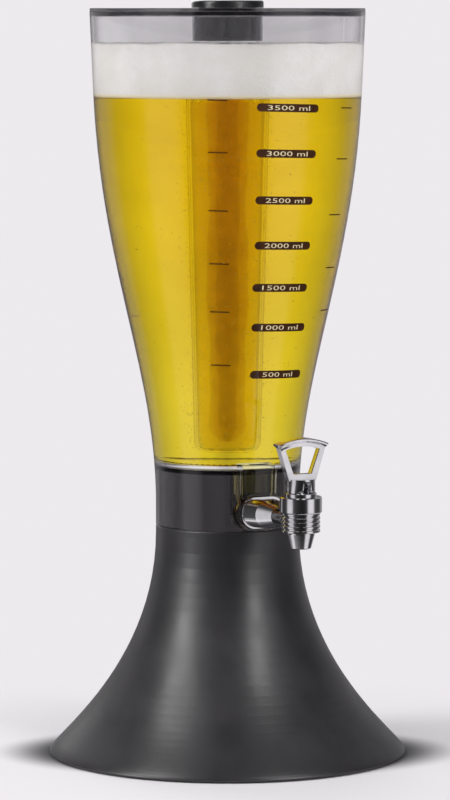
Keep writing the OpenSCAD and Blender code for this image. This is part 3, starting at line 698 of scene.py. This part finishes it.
def beer_body():
    """The beer between the vessel's floor and the foam."""
    round_top = FLOOR_TOP + FLOOR_ROUND
    heights = [round_top + (BEER_TOP - round_top) * i / 60 for i in range(61)]
    foot_r = inside_r(heights[0]) - FLOOR_ROUND
    outline = [(0.0, FLOOR_TOP - LINK), (foot_r, FLOOR_TOP - LINK)]
    bend = FLOOR_ROUND + LINK
    for i in range(1, 7):
        a = math.radians(-90 + 15 * i)
        outline.append((foot_r + bend * math.cos(a), round_top + bend * math.sin(a)))
    outline += [(inside_r(z) + LINK, z) for z in heights[1:]]
    outline.append((0.0, BEER_TOP))
    piece = turned("beer", outline)
    piece.data.materials.append(BEER)
    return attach(piece, "vessel")


def well_beer():
    """The beer that stands in the outlet well, round the shank and the nut."""
    half, front, back = WELL_HALF + LINK, WELL_FRONT - LINK, WELL_BACK + LINK
    low, high = WELL_LOW - LINK, FLOOR_TOP - 0.1 * MM
    corner_r = 4 * MM
    bm = bmesh.new()
    outline = []
    for cx, start in ((half - corner_r, 0), (corner_r - half, 90)):
        for i in range(7):
            a = math.radians(start + 15 * i)
            outline.append((cx + corner_r * math.cos(a), back - corner_r + corner_r * math.sin(a)))
    outline += [(-half, front), (half, front)]
    top = [bm.verts.new((x, y, high)) for x, y in outline]
    bm.faces.new(top)
    made = bmesh.ops.extrude_face_region(bm, geom=list(bm.faces))
    for v in made["geom"]:
        if isinstance(v, bmesh.types.BMVert):
            v.co.z = low
    bmesh.ops.recalc_face_normals(bm, faces=bm.faces)
    rounded = []
    for e in bm.edges:
        if all(abs(v.co.z - low) < SAME for v in e.verts):
            on_side = all(abs(abs(v.co.x) - half) < SAME for v in e.verts)
            if on_side or e.verts[0].co.y > front + 1e-5:
                rounded.append(e)
    bmesh.ops.bevel(
        bm, geom=rounded, offset=2.5 * MM, segments=4, affect="EDGES", profile=0.5, clamp_overlap=True)
    piece = from_bmesh("well_beer", bm)
    piece.data.shade_smooth()
    piece.data.set_sharp_from_angle(angle=math.radians(40))
    piece.data.materials.append(BEER)
    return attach(piece, "vessel")


def foam():
    """The head of foam, with an uneven top, closed round the ice tube's place."""
    def uneven(r, a, z):
        if z < FOAM_TOP - 3 * MM:
            return 0.0
        lumps = 0.45 * math.sin(5 * a + 1.3) + 0.35 * math.sin(9 * a + r * 180)
        lumps += 0.3 * math.sin(14 * a - r * 310)
        lumps += 0.4 * math.sin(r * 420 + 2.0) + 0.25 * math.sin(23 * a + r * 520)
        return 0.55 * MM * lumps

    tube_r = 21.3 * MM
    low = BEER_TOP - 0.3 * MM
    outline = [(tube_r, low)]
    for i in range(1, 13):
        outline.append((tube_r + (inside_r(BEER_TOP) + LINK - tube_r) * i / 12, low))
    for i in range(1, 27):
        z = BEER_TOP + (FOAM_TOP - BEER_TOP) * i / 26
        outline.append((inside_r(z) + LINK, z))
    edge = inside_r(FOAM_TOP)
    for i in range(1, 41):
        r = edge + (tube_r - edge) * i / 40
        outline.append((r, FOAM_TOP - 0.9 * MM * math.sin(math.pi * i / 40)))
    for i in range(1, 10):
        outline.append((tube_r, FOAM_TOP + (low - FOAM_TOP) * i / 10))
    verts, faces = [], []
    count, steps = len(outline), 192
    for i in range(steps):
        a = 2 * math.pi * i / steps
        for r, z in outline:
            verts.append((r * math.cos(a), r * math.sin(a), z + uneven(r, a, z)))
    for i in range(steps):
        j = (i + 1) % steps
        for k in range(count):
            m = (k + 1) % count
            faces.append((i * count + k, j * count + k, j * count + m, i * count + m))
    piece = mesh_object("foam", verts, faces)
    outward(piece)
    piece.data.materials.append(FROTH)
    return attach(piece, "vessel")


def tube_filling():
    """Melt water in the ice tube, up to a little above the beer; its amber colour is painted shade."""
    foot, straight_from, top = 0.2097, 0.218, 0.462
    line = [(0.0, foot), (9.0 * MM, foot), (12.5 * MM, foot + 2.0 * MM), (14.7 * MM, foot + 5.3 * MM)]
    outer = [(TUBE_FOOT_Z, TUBE_FOOT_R), (TUBE_TOP_Z, TUBE_TOP_R), (0.52, TUBE_TOP_R)]
    for i in range(21):
        z = straight_from + (top - straight_from) * i / 20
        line.append((at_height(outer, z) - TUBE_WALL, z))
    line.append((0.0, top))
    piece = turned("ice_tube_filling", line, 96)
    piece.data.materials.append(WATER)
    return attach(piece, "ice_tube")


def ice_column(name, middle_r, phase):
    """What is left of the ice: an uneven column in the water, about this many millimetres in radius."""
    foot, low, top = 0.2155, 0.2165, 0.4605
    line = [(0.0, foot)]
    for i in range(49):
        z = low + (top - low) * i / 48
        swell = 0.45 * math.sin(z * 61 + phase) + 0.3 * math.sin(z * 143 + 2 * phase)
        swell += 0.25 * math.sin(z * 37 + 2)
        ends = min(1.0, (z - 0.2145) / 0.012)
        line.append(((middle_r + 1.3 * swell + 5.0 * (z - 0.21)) * MM * ends ** 0.5, z))
    line.append((0.0, 0.4608))
    piece = turned(name, line, 64)
    # The ice's amber absorption is painted shade.
    piece.data.materials.append(ICE)
    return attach(piece, "ice_tube")


def bubbles():
    """Fine bubbles that rise in the beer: three in four along the ice tube, and the rest all over."""
    rng = random.Random(41)
    bm = bmesh.new()
    for i in range(1500):
        z = rng.uniform(FLOOR_TOP + 6 * MM, BEER_TOP - 3 * MM)
        a = rng.uniform(0, 2 * math.pi)
        room = inside_r(z) - 2 * MM
        tube = TUBE_FOOT_R + 4.8 * MM * (z - TUBE_FOOT_Z) / 0.263
        if i % 4:
            r = tube + 1.0 * MM + rng.random() ** 2 * 5 * MM
        else:
            r = rng.uniform(tube + 3 * MM, room)
        size = rng.choice((0.16, 0.20, 0.26, 0.34)) * MM
        made = bmesh.ops.create_icosphere(bm, subdivisions=1, radius=size)
        shift = Vector((r * math.cos(a), r * math.sin(a), z))
        for v in made["verts"]:
            v.co += shift
    piece = from_bmesh("bubbles", bm)
    piece.data.shade_smooth()
    f = Finish("bubble_gas", **{"IOR": 1.2, "Transmission Weight": 0.55})
    drift = f.use(DRIFT, Light=rgb(1.0, 0.88, 0.50), Dark=rgb(0.90, 0.72, 0.30), Size=300.0)
    f.colour(drift["Color"])
    f.roughness(f.n.span(drift["Mask"], 0.0, 1.0, 0.05, 0.2))
    piece.data.materials.append(f.material)
    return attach(piece, "vessel")


beer_body()
well_beer()
foam()
tube_filling()
ice_column("ice_column", 9.2, 0.7)
ice_column("ice_heart", 5.0, 2.9)
bubbles()


# ---------------------------------------------------------------- the printed scale

def on_wall(x, z, azimuth, proud):
    """The point of the vessel's outside at a distance x along it from an azimuth, at a height."""
    r = at_height(vessel_line, z)
    a = math.radians(azimuth) + x / r
    return Vector(((r + proud) * math.sin(a), -(r + proud) * math.cos(a), z - PRINT_SLOPE * x))


def pill(width, height, z, azimuth, bm):
    """A plate of ink with round ends, on the wall."""
    half, cap = width / 2, height / 2
    columns = []
    for i in range(9):
        a = math.pi / 2 * i / 8
        columns.append((-half + cap - cap * math.cos(a), cap * math.sin(a)))
    straight = [(-half + cap + (width - 2 * cap) * i / 16, cap) for i in range(1, 17)]
    columns += straight + [(-x, h) for x, h in reversed(columns[:-1])]
    front, back = [], []
    for x, h in columns:
        h = max(h, 0.02 * MM)
        front.append([bm.verts.new(on_wall(x, z + s * h, azimuth, INK_PROUD)) for s in (-1, 0, 1)])
        back.append([bm.verts.new(on_wall(x, z + s * h, azimuth, INK_SUNK)) for s in (-1, 0, 1)])
    for i in range(len(columns) - 1):
        for k in (0, 1):
            bm.faces.new((front[i][k], front[i + 1][k], front[i + 1][k + 1], front[i][k + 1]))
            bm.faces.new((back[i][k], back[i][k + 1], back[i + 1][k + 1], back[i + 1][k]))
        bm.faces.new((front[i][2], front[i + 1][2], back[i + 1][2], back[i][2]))
        bm.faces.new((front[i][0], back[i][0], back[i + 1][0], front[i + 1][0]))
    for i in (0, -1):
        bm.faces.new([*front[i], *reversed(back[i])])


def figures(text, size, width, z, azimuth, bm):
    """A line of figures on the wall, stretched to a width."""
    curve = bpy.data.curves.new("figures", "FONT")
    curve.body = text
    curve.size = size
    curve.align_x = "CENTER"
    curve.align_y = "CENTER"
    curve.extrude = 0.5
    curve.resolution_u = 2
    shape = linked("figures", curve)
    bpy.context.view_layer.update()
    mesh = shape.evaluated_get(bpy.context.evaluated_depsgraph_get()).to_mesh()
    xs = [v.co.x for v in mesh.vertices]
    ys = [v.co.y for v in mesh.vertices]
    middle_x, middle_y = (min(xs) + max(xs)) / 2, (min(ys) + max(ys)) / 2
    stretch = width / (max(xs) - min(xs))
    made = []
    for v in mesh.vertices:
        proud = FIGURES_PROUD if v.co.z > 0 else FIGURES_SUNK
        x = (v.co.x - middle_x) * stretch
        made.append(bm.verts.new(on_wall(x, z + v.co.y - middle_y, azimuth, proud)))
    for p in mesh.polygons:
        try:
            bm.faces.new([made[i] for i in p.vertices])
        except ValueError:
            pass
    bpy.data.objects.remove(shape)
    bpy.data.curves.remove(curve)


def printed(name, bm, material):
    bmesh.ops.recalc_face_normals(bm, faces=bm.faces)
    piece = from_bmesh(name, bm)
    piece.data.materials.append(material)
    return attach(piece, "vessel")


# Millilitres, and the plate's height, azimuth and width in millimetres and degrees.
SCALE = (
    (3500, 440.7, 0.0, 46.2), (3000, 410.7, 0.0, 44.6), (2500, 379.8, 0.4, 43.2), (2000, 349.8, 1.6, 42.4),
    (1500, 321.6, 2.7, 42.4), (1000, 294.8, 4.9, 42.4), (500, 262.9, 7.5, 41.8),
)
# The plain lines to the left of the plates and to their right.
LEFT_LINES = (446.0, 411.8, 373.4, 338.2, 306.0, 270.0)
LEFT_AZIMUTH = -31.2
RIGHT_LINES = ((439.9, 34.6), (406.1, 34.0), (368.9, 33.8), (333.1, 39.5), (304.0, 44.0))


def scale_print():
    plates, light, side = bmesh.new(), bmesh.new(), bmesh.new()
    for value, z, azimuth, width in SCALE:
        pill(width * MM, 5.4 * MM, z * MM, azimuth, plates)
        share = 0.68 if value > 999 else 0.58
        figures(f"{value} ml", 4.5 * MM, share * width * MM, z * MM, azimuth, light)
    for z in LEFT_LINES:
        pill(13.0 * MM, 0.9 * MM, z * MM, LEFT_AZIMUTH, side)
    for z, azimuth in RIGHT_LINES:
        pill(15.0 * MM, 0.8 * MM, z * MM, azimuth, side)
    printed("scale_plates", plates, INK)
    printed("scale_figures", light, INK_LIGHT)
    printed("scale_side_marks", side, INK)


scale_print()


# ---------------------------------------------------------------- the spring

def spring_coil():
    """Round wire wound from the stem's collar to the bonnet's roof; the real spring shortens as the stem
    rises, this coil keeps one length.
    """
    low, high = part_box("spring")[0].z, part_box("spring")[1].z
    wire_r, coil_r, turns, sides, steps = 0.6 * MM, 5.4 * MM, 5.0, 12, 260
    rise = high - low - 2 * wire_r
    verts, faces = [], []
    for i in range(steps + 1):
        a = 2 * math.pi * turns * i / steps
        out = Vector((math.cos(a), math.sin(a), 0.0))
        centre = Vector((coil_r * math.cos(a), coil_r * math.sin(a), low + wire_r + rise * i / steps))
        for k in range(sides):
            b = 2 * math.pi * k / sides
            upright = Vector((0, 0, wire_r * math.sin(b)))
            verts.append(centre + out * wire_r * math.cos(b) + upright + Vector((0, TAP_Y, 0)))
    for i in range(steps):
        for k in range(sides):
            m = (k + 1) % sides
            faces.append((i * sides + k, i * sides + m, (i + 1) * sides + m, (i + 1) * sides + k))
    faces.append(tuple(reversed(range(sides))))
    faces.append(tuple(steps * sides + k for k in range(sides)))
    piece = mesh_object("spring_coil", verts, faces)
    outward(piece)
    piece.data.materials.append(STEEL)
    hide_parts("spring")
    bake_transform(piece)


spring_coil()


# ---------------------------------------------------------------- the lever

def lever_cast():
    """The lever as it is cast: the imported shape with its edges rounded, for the plating to run over."""
    def round_off(edges, width, segments):
        bmesh.ops.bevel(
            bm, geom=edges, offset=width, segments=segments, affect="EDGES", profile=0.5, clamp_overlap=True)

    bm = bmesh.new()
    bm.from_mesh(nodes["lever"].data)
    bmesh.ops.remove_doubles(bm, verts=bm.verts, dist=0.004 * MM)
    bmesh.ops.dissolve_limit(bm, angle_limit=math.radians(2), verts=bm.verts, edges=bm.edges)
    sharp = [e for e in bm.edges if len(e.link_faces) == 2 and e.calc_face_angle() > math.radians(38)]
    handle = [e for e in sharp if min(v.co.z for v in e.verts) > HUB_TOP]
    of_handle = set(handle)
    hub = [e for e in sharp if e not in of_handle]
    round_off(handle, 1.15 * MM, 5)
    round_off([e for e in hub if e.is_valid], 0.35 * MM, 3)
    bmesh.ops.recalc_face_normals(bm, faces=bm.faces)
    piece = from_bmesh("lever_cast", bm)
    mesh = piece.data
    for face in mesh.polygons:
        face.material_index = 0
    mesh.materials.clear()
    mesh.materials.append(CHROME)
    mesh.shade_smooth()
    mesh.set_sharp_from_angle(angle=math.radians(42))
    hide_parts("lever")
    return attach(piece, "lever")


lever_cast()


# ---------------------------------------------------------------- studio

# How bright the studio is behind the object, from straight behind to 45 degrees aside, over BEHIND_GAIN.
BEHIND = (
    (0.0, 0.62), (0.07, 0.72), (0.14, 0.88), (0.24, 0.94),
    (0.45, 0.92), (0.62, 0.80), (0.8, 0.67), (1.0, 0.55),
)
BEHIND_GAIN = 1.2
# How bright it is in a mirror, once round from straight behind the object; 0.5 is the camera's side.
MIRRORED = (
    (0.0, 0.12), (0.07, 0.42), (0.14, 0.30), (0.20, 0.06), (0.27, 0.08), (0.31, 0.80), (0.36, 0.95),
    (0.40, 0.35), (0.43, 0.04), (0.53, 0.03), (0.60, 0.10), (0.645, 0.85), (0.69, 0.80), (0.73, 0.08),
    (0.80, 0.05), (0.86, 0.45), (0.92, 0.30), (1.0, 0.12),
)


def make_studio():
    """How bright the studio is in each direction: behind clear pieces, and in the mirror of glossy ones."""
    tree, n, given, out = group(
        "studio_cards",
        [("Direction", "Vector", None)],
        [("Behind", "Float"), ("Mirrored", "Float")],
    )
    full, quarter, eighth = 2 * math.pi, math.pi / 2, math.pi / 4
    way = n.split(given["Direction"])
    turn = n.maths("SUBTRACT", n.maths("ARCTAN2", way[0], way[1]), math.radians(-CAMERA_AZIMUTH))
    folded = n.maths("FLOORED_MODULO", n.maths("ADD", turn, eighth), quarter)
    aside = n.maths("DIVIDE", n.maths("ABSOLUTE", n.maths("SUBTRACT", folded, eighth)), eighth)
    n.feed(out["Behind"], n.maths("MULTIPLY", n.curve(aside, BEHIND), BEHIND_GAIN))
    round_it = n.maths("FLOORED_MODULO", n.maths("ADD", turn, full), full)
    n.feed(out["Mirrored"], n.curve(n.maths("DIVIDE", round_it, full), MIRRORED))
    return tree


STUDIO = make_studio()


def studio_strength(n, direction):
    """Strength of the backdrop for camera, glass and mirror rays, and a mask of all these rays.

    A ray that glass lets pass is marked as glossy too, so it is taken out of the mirror's share.
    """
    cards = n.add("Group", node_tree=STUDIO)
    n.feed(cards.inputs["Direction"], direction)
    path = n.add("LightPath").outputs
    by_camera, by_glass, by_gloss = (path[f"Is {kind} Ray"] for kind in ("Camera", "Transmission", "Glossy"))
    passed = n.maths("MULTIPLY", by_glass, cards.outputs["Behind"])
    only_mirror = n.maths("SUBTRACT", by_gloss, by_glass, clamp=True)
    mirrored = n.maths("MULTIPLY", only_mirror, cards.outputs["Mirrored"])
    seen = n.maths("ADD", by_camera, n.maths("ADD", by_glass, by_gloss), clamp=True)
    return n.maths("ADD", by_camera, n.maths("ADD", passed, mirrored)), seen


def world_light():
    """Plain light all round; camera, mirror and glass rays see the backdrop and its cards instead."""
    world = bpy.data.worlds.new("studio")
    bpy.context.scene.world = world
    world.use_nodes = True
    tree = world.node_tree
    tree.nodes.clear()
    n = Nodes(tree)
    strength, seen = studio_strength(n, n.add("TexCoord").outputs["Generated"])
    back = n.add("Background")
    back.inputs["Color"].default_value = rgb(*BACKGROUND)
    n.feed(back.inputs["Strength"], strength)
    plain = n.add("Background")
    plain.inputs["Color"].default_value = rgb(0.98, 0.985, 1.0)
    plain.inputs["Strength"].default_value = PLAIN_LIGHT
    mix = n.add("MixShader")
    n.feed(mix.inputs[0], seen)
    tree.links.new(plain.outputs[0], mix.inputs[1])
    tree.links.new(back.outputs[0], mix.inputs[2])
    tree.links.new(mix.outputs[0], n.add("OutputWorld").inputs["Surface"])


# The floor: where it fades into the backdrop, and the half axes, edge and depth of the painted shade under
# the foot.
FADE_FROM, FADE_TO = 0.13, 0.34
SHADE_LONG, SHADE_DEEP = 0.150, 0.095
SHADE_FROM, SHADE_TO, SHADE_LEFT = 0.80, 1.10, 0.13


def floor_mesh(sides=64):
    """A round floor, in rings that grow."""
    bm = bmesh.new()
    last = None
    for r in (0.2, 0.5, 1.0, 2.0, 5.0, 12.0, 30.0):
        angles = [2 * math.pi * i / sides for i in range(sides)]
        ring = [bm.verts.new((r * math.cos(a), r * math.sin(a), 0.0)) for a in angles]
        if last is None:
            bm.faces.new(ring)
        else:
            for i in range(sides):
                j = (i + 1) % sides
                bm.faces.new((last[i], ring[i], ring[j], last[j]))
        last = ring
    return bm


def pale_floor():
    """A floor that takes the shadow near the object, with a painted shade under the foot, and fades into the
    backdrop's colour further off.
    """
    floor = from_bmesh("floor", floor_mesh())
    f = Finish("floor_pale", **{"Roughness": 0.9, "Specular IOR Level": 0.0})
    n = f.n
    drift = f.use(DRIFT, Light=rgb(0.72, 0.70, 0.72), Dark=rgb(0.71, 0.69, 0.71), Size=3.0)
    x, y, _ = n.split(n.place())
    far = n.span(n.reach(x, y), FADE_FROM, FADE_TO)
    c, s = math.cos(math.radians(CAMERA_AZIMUTH)), math.sin(math.radians(CAMERA_AZIMUTH))
    along = n.maths("ADD", n.maths("MULTIPLY", x, c / SHADE_LONG), n.maths("MULTIPLY", y, s / SHADE_LONG))
    back, aside = n.maths("MULTIPLY", y, c / SHADE_DEEP), n.maths("MULTIPLY", x, s / SHADE_DEEP)
    across = n.maths("SUBTRACT", back, aside)
    # Painted shade: an ellipse under the foot darkens the floor's colour and its glow.
    shade = n.span(n.reach(along, across), SHADE_FROM, SHADE_TO, SHADE_LEFT, 1.0)
    shaded = n.add("MixRGB", blend_type="MULTIPLY")
    shaded.inputs[0].default_value = 1.0
    n.feed(shaded.inputs[1], drift["Color"])
    n.feed(shaded.inputs[2], shade)
    f.colour(shaded.outputs[0])
    strength, seen = studio_strength(n, n.place())
    glow = n.add("Emission")
    glow.inputs["Color"].default_value = rgb(*BACKGROUND)
    n.feed(glow.inputs["Strength"], n.maths("MULTIPLY", strength, shade))
    mix = n.add("MixShader")
    n.feed(mix.inputs[0], n.maths("MULTIPLY", far, seen))
    n.tree.links.new(f.shader.outputs[0], mix.inputs[1])
    n.tree.links.new(glow.outputs[0], mix.inputs[2])
    n.tree.links.new(mix.outputs[0], f.out.inputs["Surface"])
    floor.data.materials.append(f.material)


def soft_box(name, azimuth, distance, height, width, tall, power, aim_z):
    """A soft lamp at an azimuth round the object, aimed at its axis."""
    data = bpy.data.lights.new(name, "AREA")
    data.shape = "RECTANGLE"
    data.size, data.size_y = width, tall
    data.energy = power
    lamp = linked(name, data)
    a = math.radians(azimuth)
    lamp.location = (distance * math.sin(a), -distance * math.cos(a), height)
    lamp.rotation_mode = "QUATERNION"
    lamp.rotation_quaternion = (Vector((0, 0, aim_z)) - lamp.location).to_track_quat("-Z", "Y")
    return lamp


def camera():
    data = bpy.data.cameras.new("camera")
    data.sensor_fit = "VERTICAL"
    data.sensor_width = data.sensor_height = 36.0
    data.lens = LENS
    data.clip_start, data.clip_end = 0.1, 100.0
    cam = linked("camera", data)
    a = math.radians(CAMERA_AZIMUTH)
    cam.location = (CAMERA_DISTANCE * math.sin(a), -CAMERA_DISTANCE * math.cos(a), CAMERA_Z)
    right = Vector((math.cos(a), math.sin(a), 0.0))
    aim = Vector((0.0, 0.0, AIM_Z)) - right * AIM_SHIFT
    cam.rotation_mode = "QUATERNION"
    cam.rotation_quaternion = (aim - cam.location).to_track_quat("-Z", "Y")
    bpy.context.scene.camera = cam


# Clear and plated pieces mirror the backdrop's cards only: a lamp would show in them as a hard patch.
UNLIT = {
    "vessel", "lid", "ice_tube", "beer", "well_beer", "ice_tube_filling", "ice_column", "ice_heart",
    "tap_body", "bonnet", "lever_cast", "spout", "lock_nut",
}
# Azimuth, distance, height, width, length, power and the height aimed at; the foam has two lamps of its own.
BODY_LAMPS = (
    ("lamp_left", -89.0, 1.5, 1.05, 0.45, 1.7, 24.0, 0.2),
    ("lamp_right", 13.0, 1.9, 1.15, 0.35, 1.9, 20.0, 0.2),
    ("lamp_back", 170.0, 1.8, 1.0, 1.0, 1.0, 14.0, 0.2),
)
FOAM_LAMPS = (
    ("lamp_foam_left", -92.0, 2.0, 0.7, 1.5, 1.0, 23.0, 0.45),
    ("lamp_foam_right", 38.0, 2.0, 0.7, 1.5, 1.0, 23.0, 0.45),
)


def light_object():
    """Lamps, each kept to the pieces that it is for."""
    lit = bpy.data.collections.new("lit_by_lamps")
    foam_only = bpy.data.collections.new("lit_by_foam_lamp")
    for piece in bpy.context.scene.objects:
        if piece.type == "MESH" and piece.name not in UNLIT:
            (foam_only if piece.name == "foam" else lit).objects.link(piece)
    for lamps, receivers in ((BODY_LAMPS, lit), (FOAM_LAMPS, foam_only)):
        for lamp in lamps:
            soft_box(*lamp).light_linking.receiver_collection = receivers


world_light()
pale_floor()
light_object()
camera()

scene = bpy.context.scene
scene.view_settings.view_transform = "Standard"
scene.cycles.max_bounces = 32
scene.cycles.transmission_bounces = 28
scene.cycles.glossy_bounces = 8
scene.cycles.diffuse_bounces = 4

bpy.context.view_layer.update()
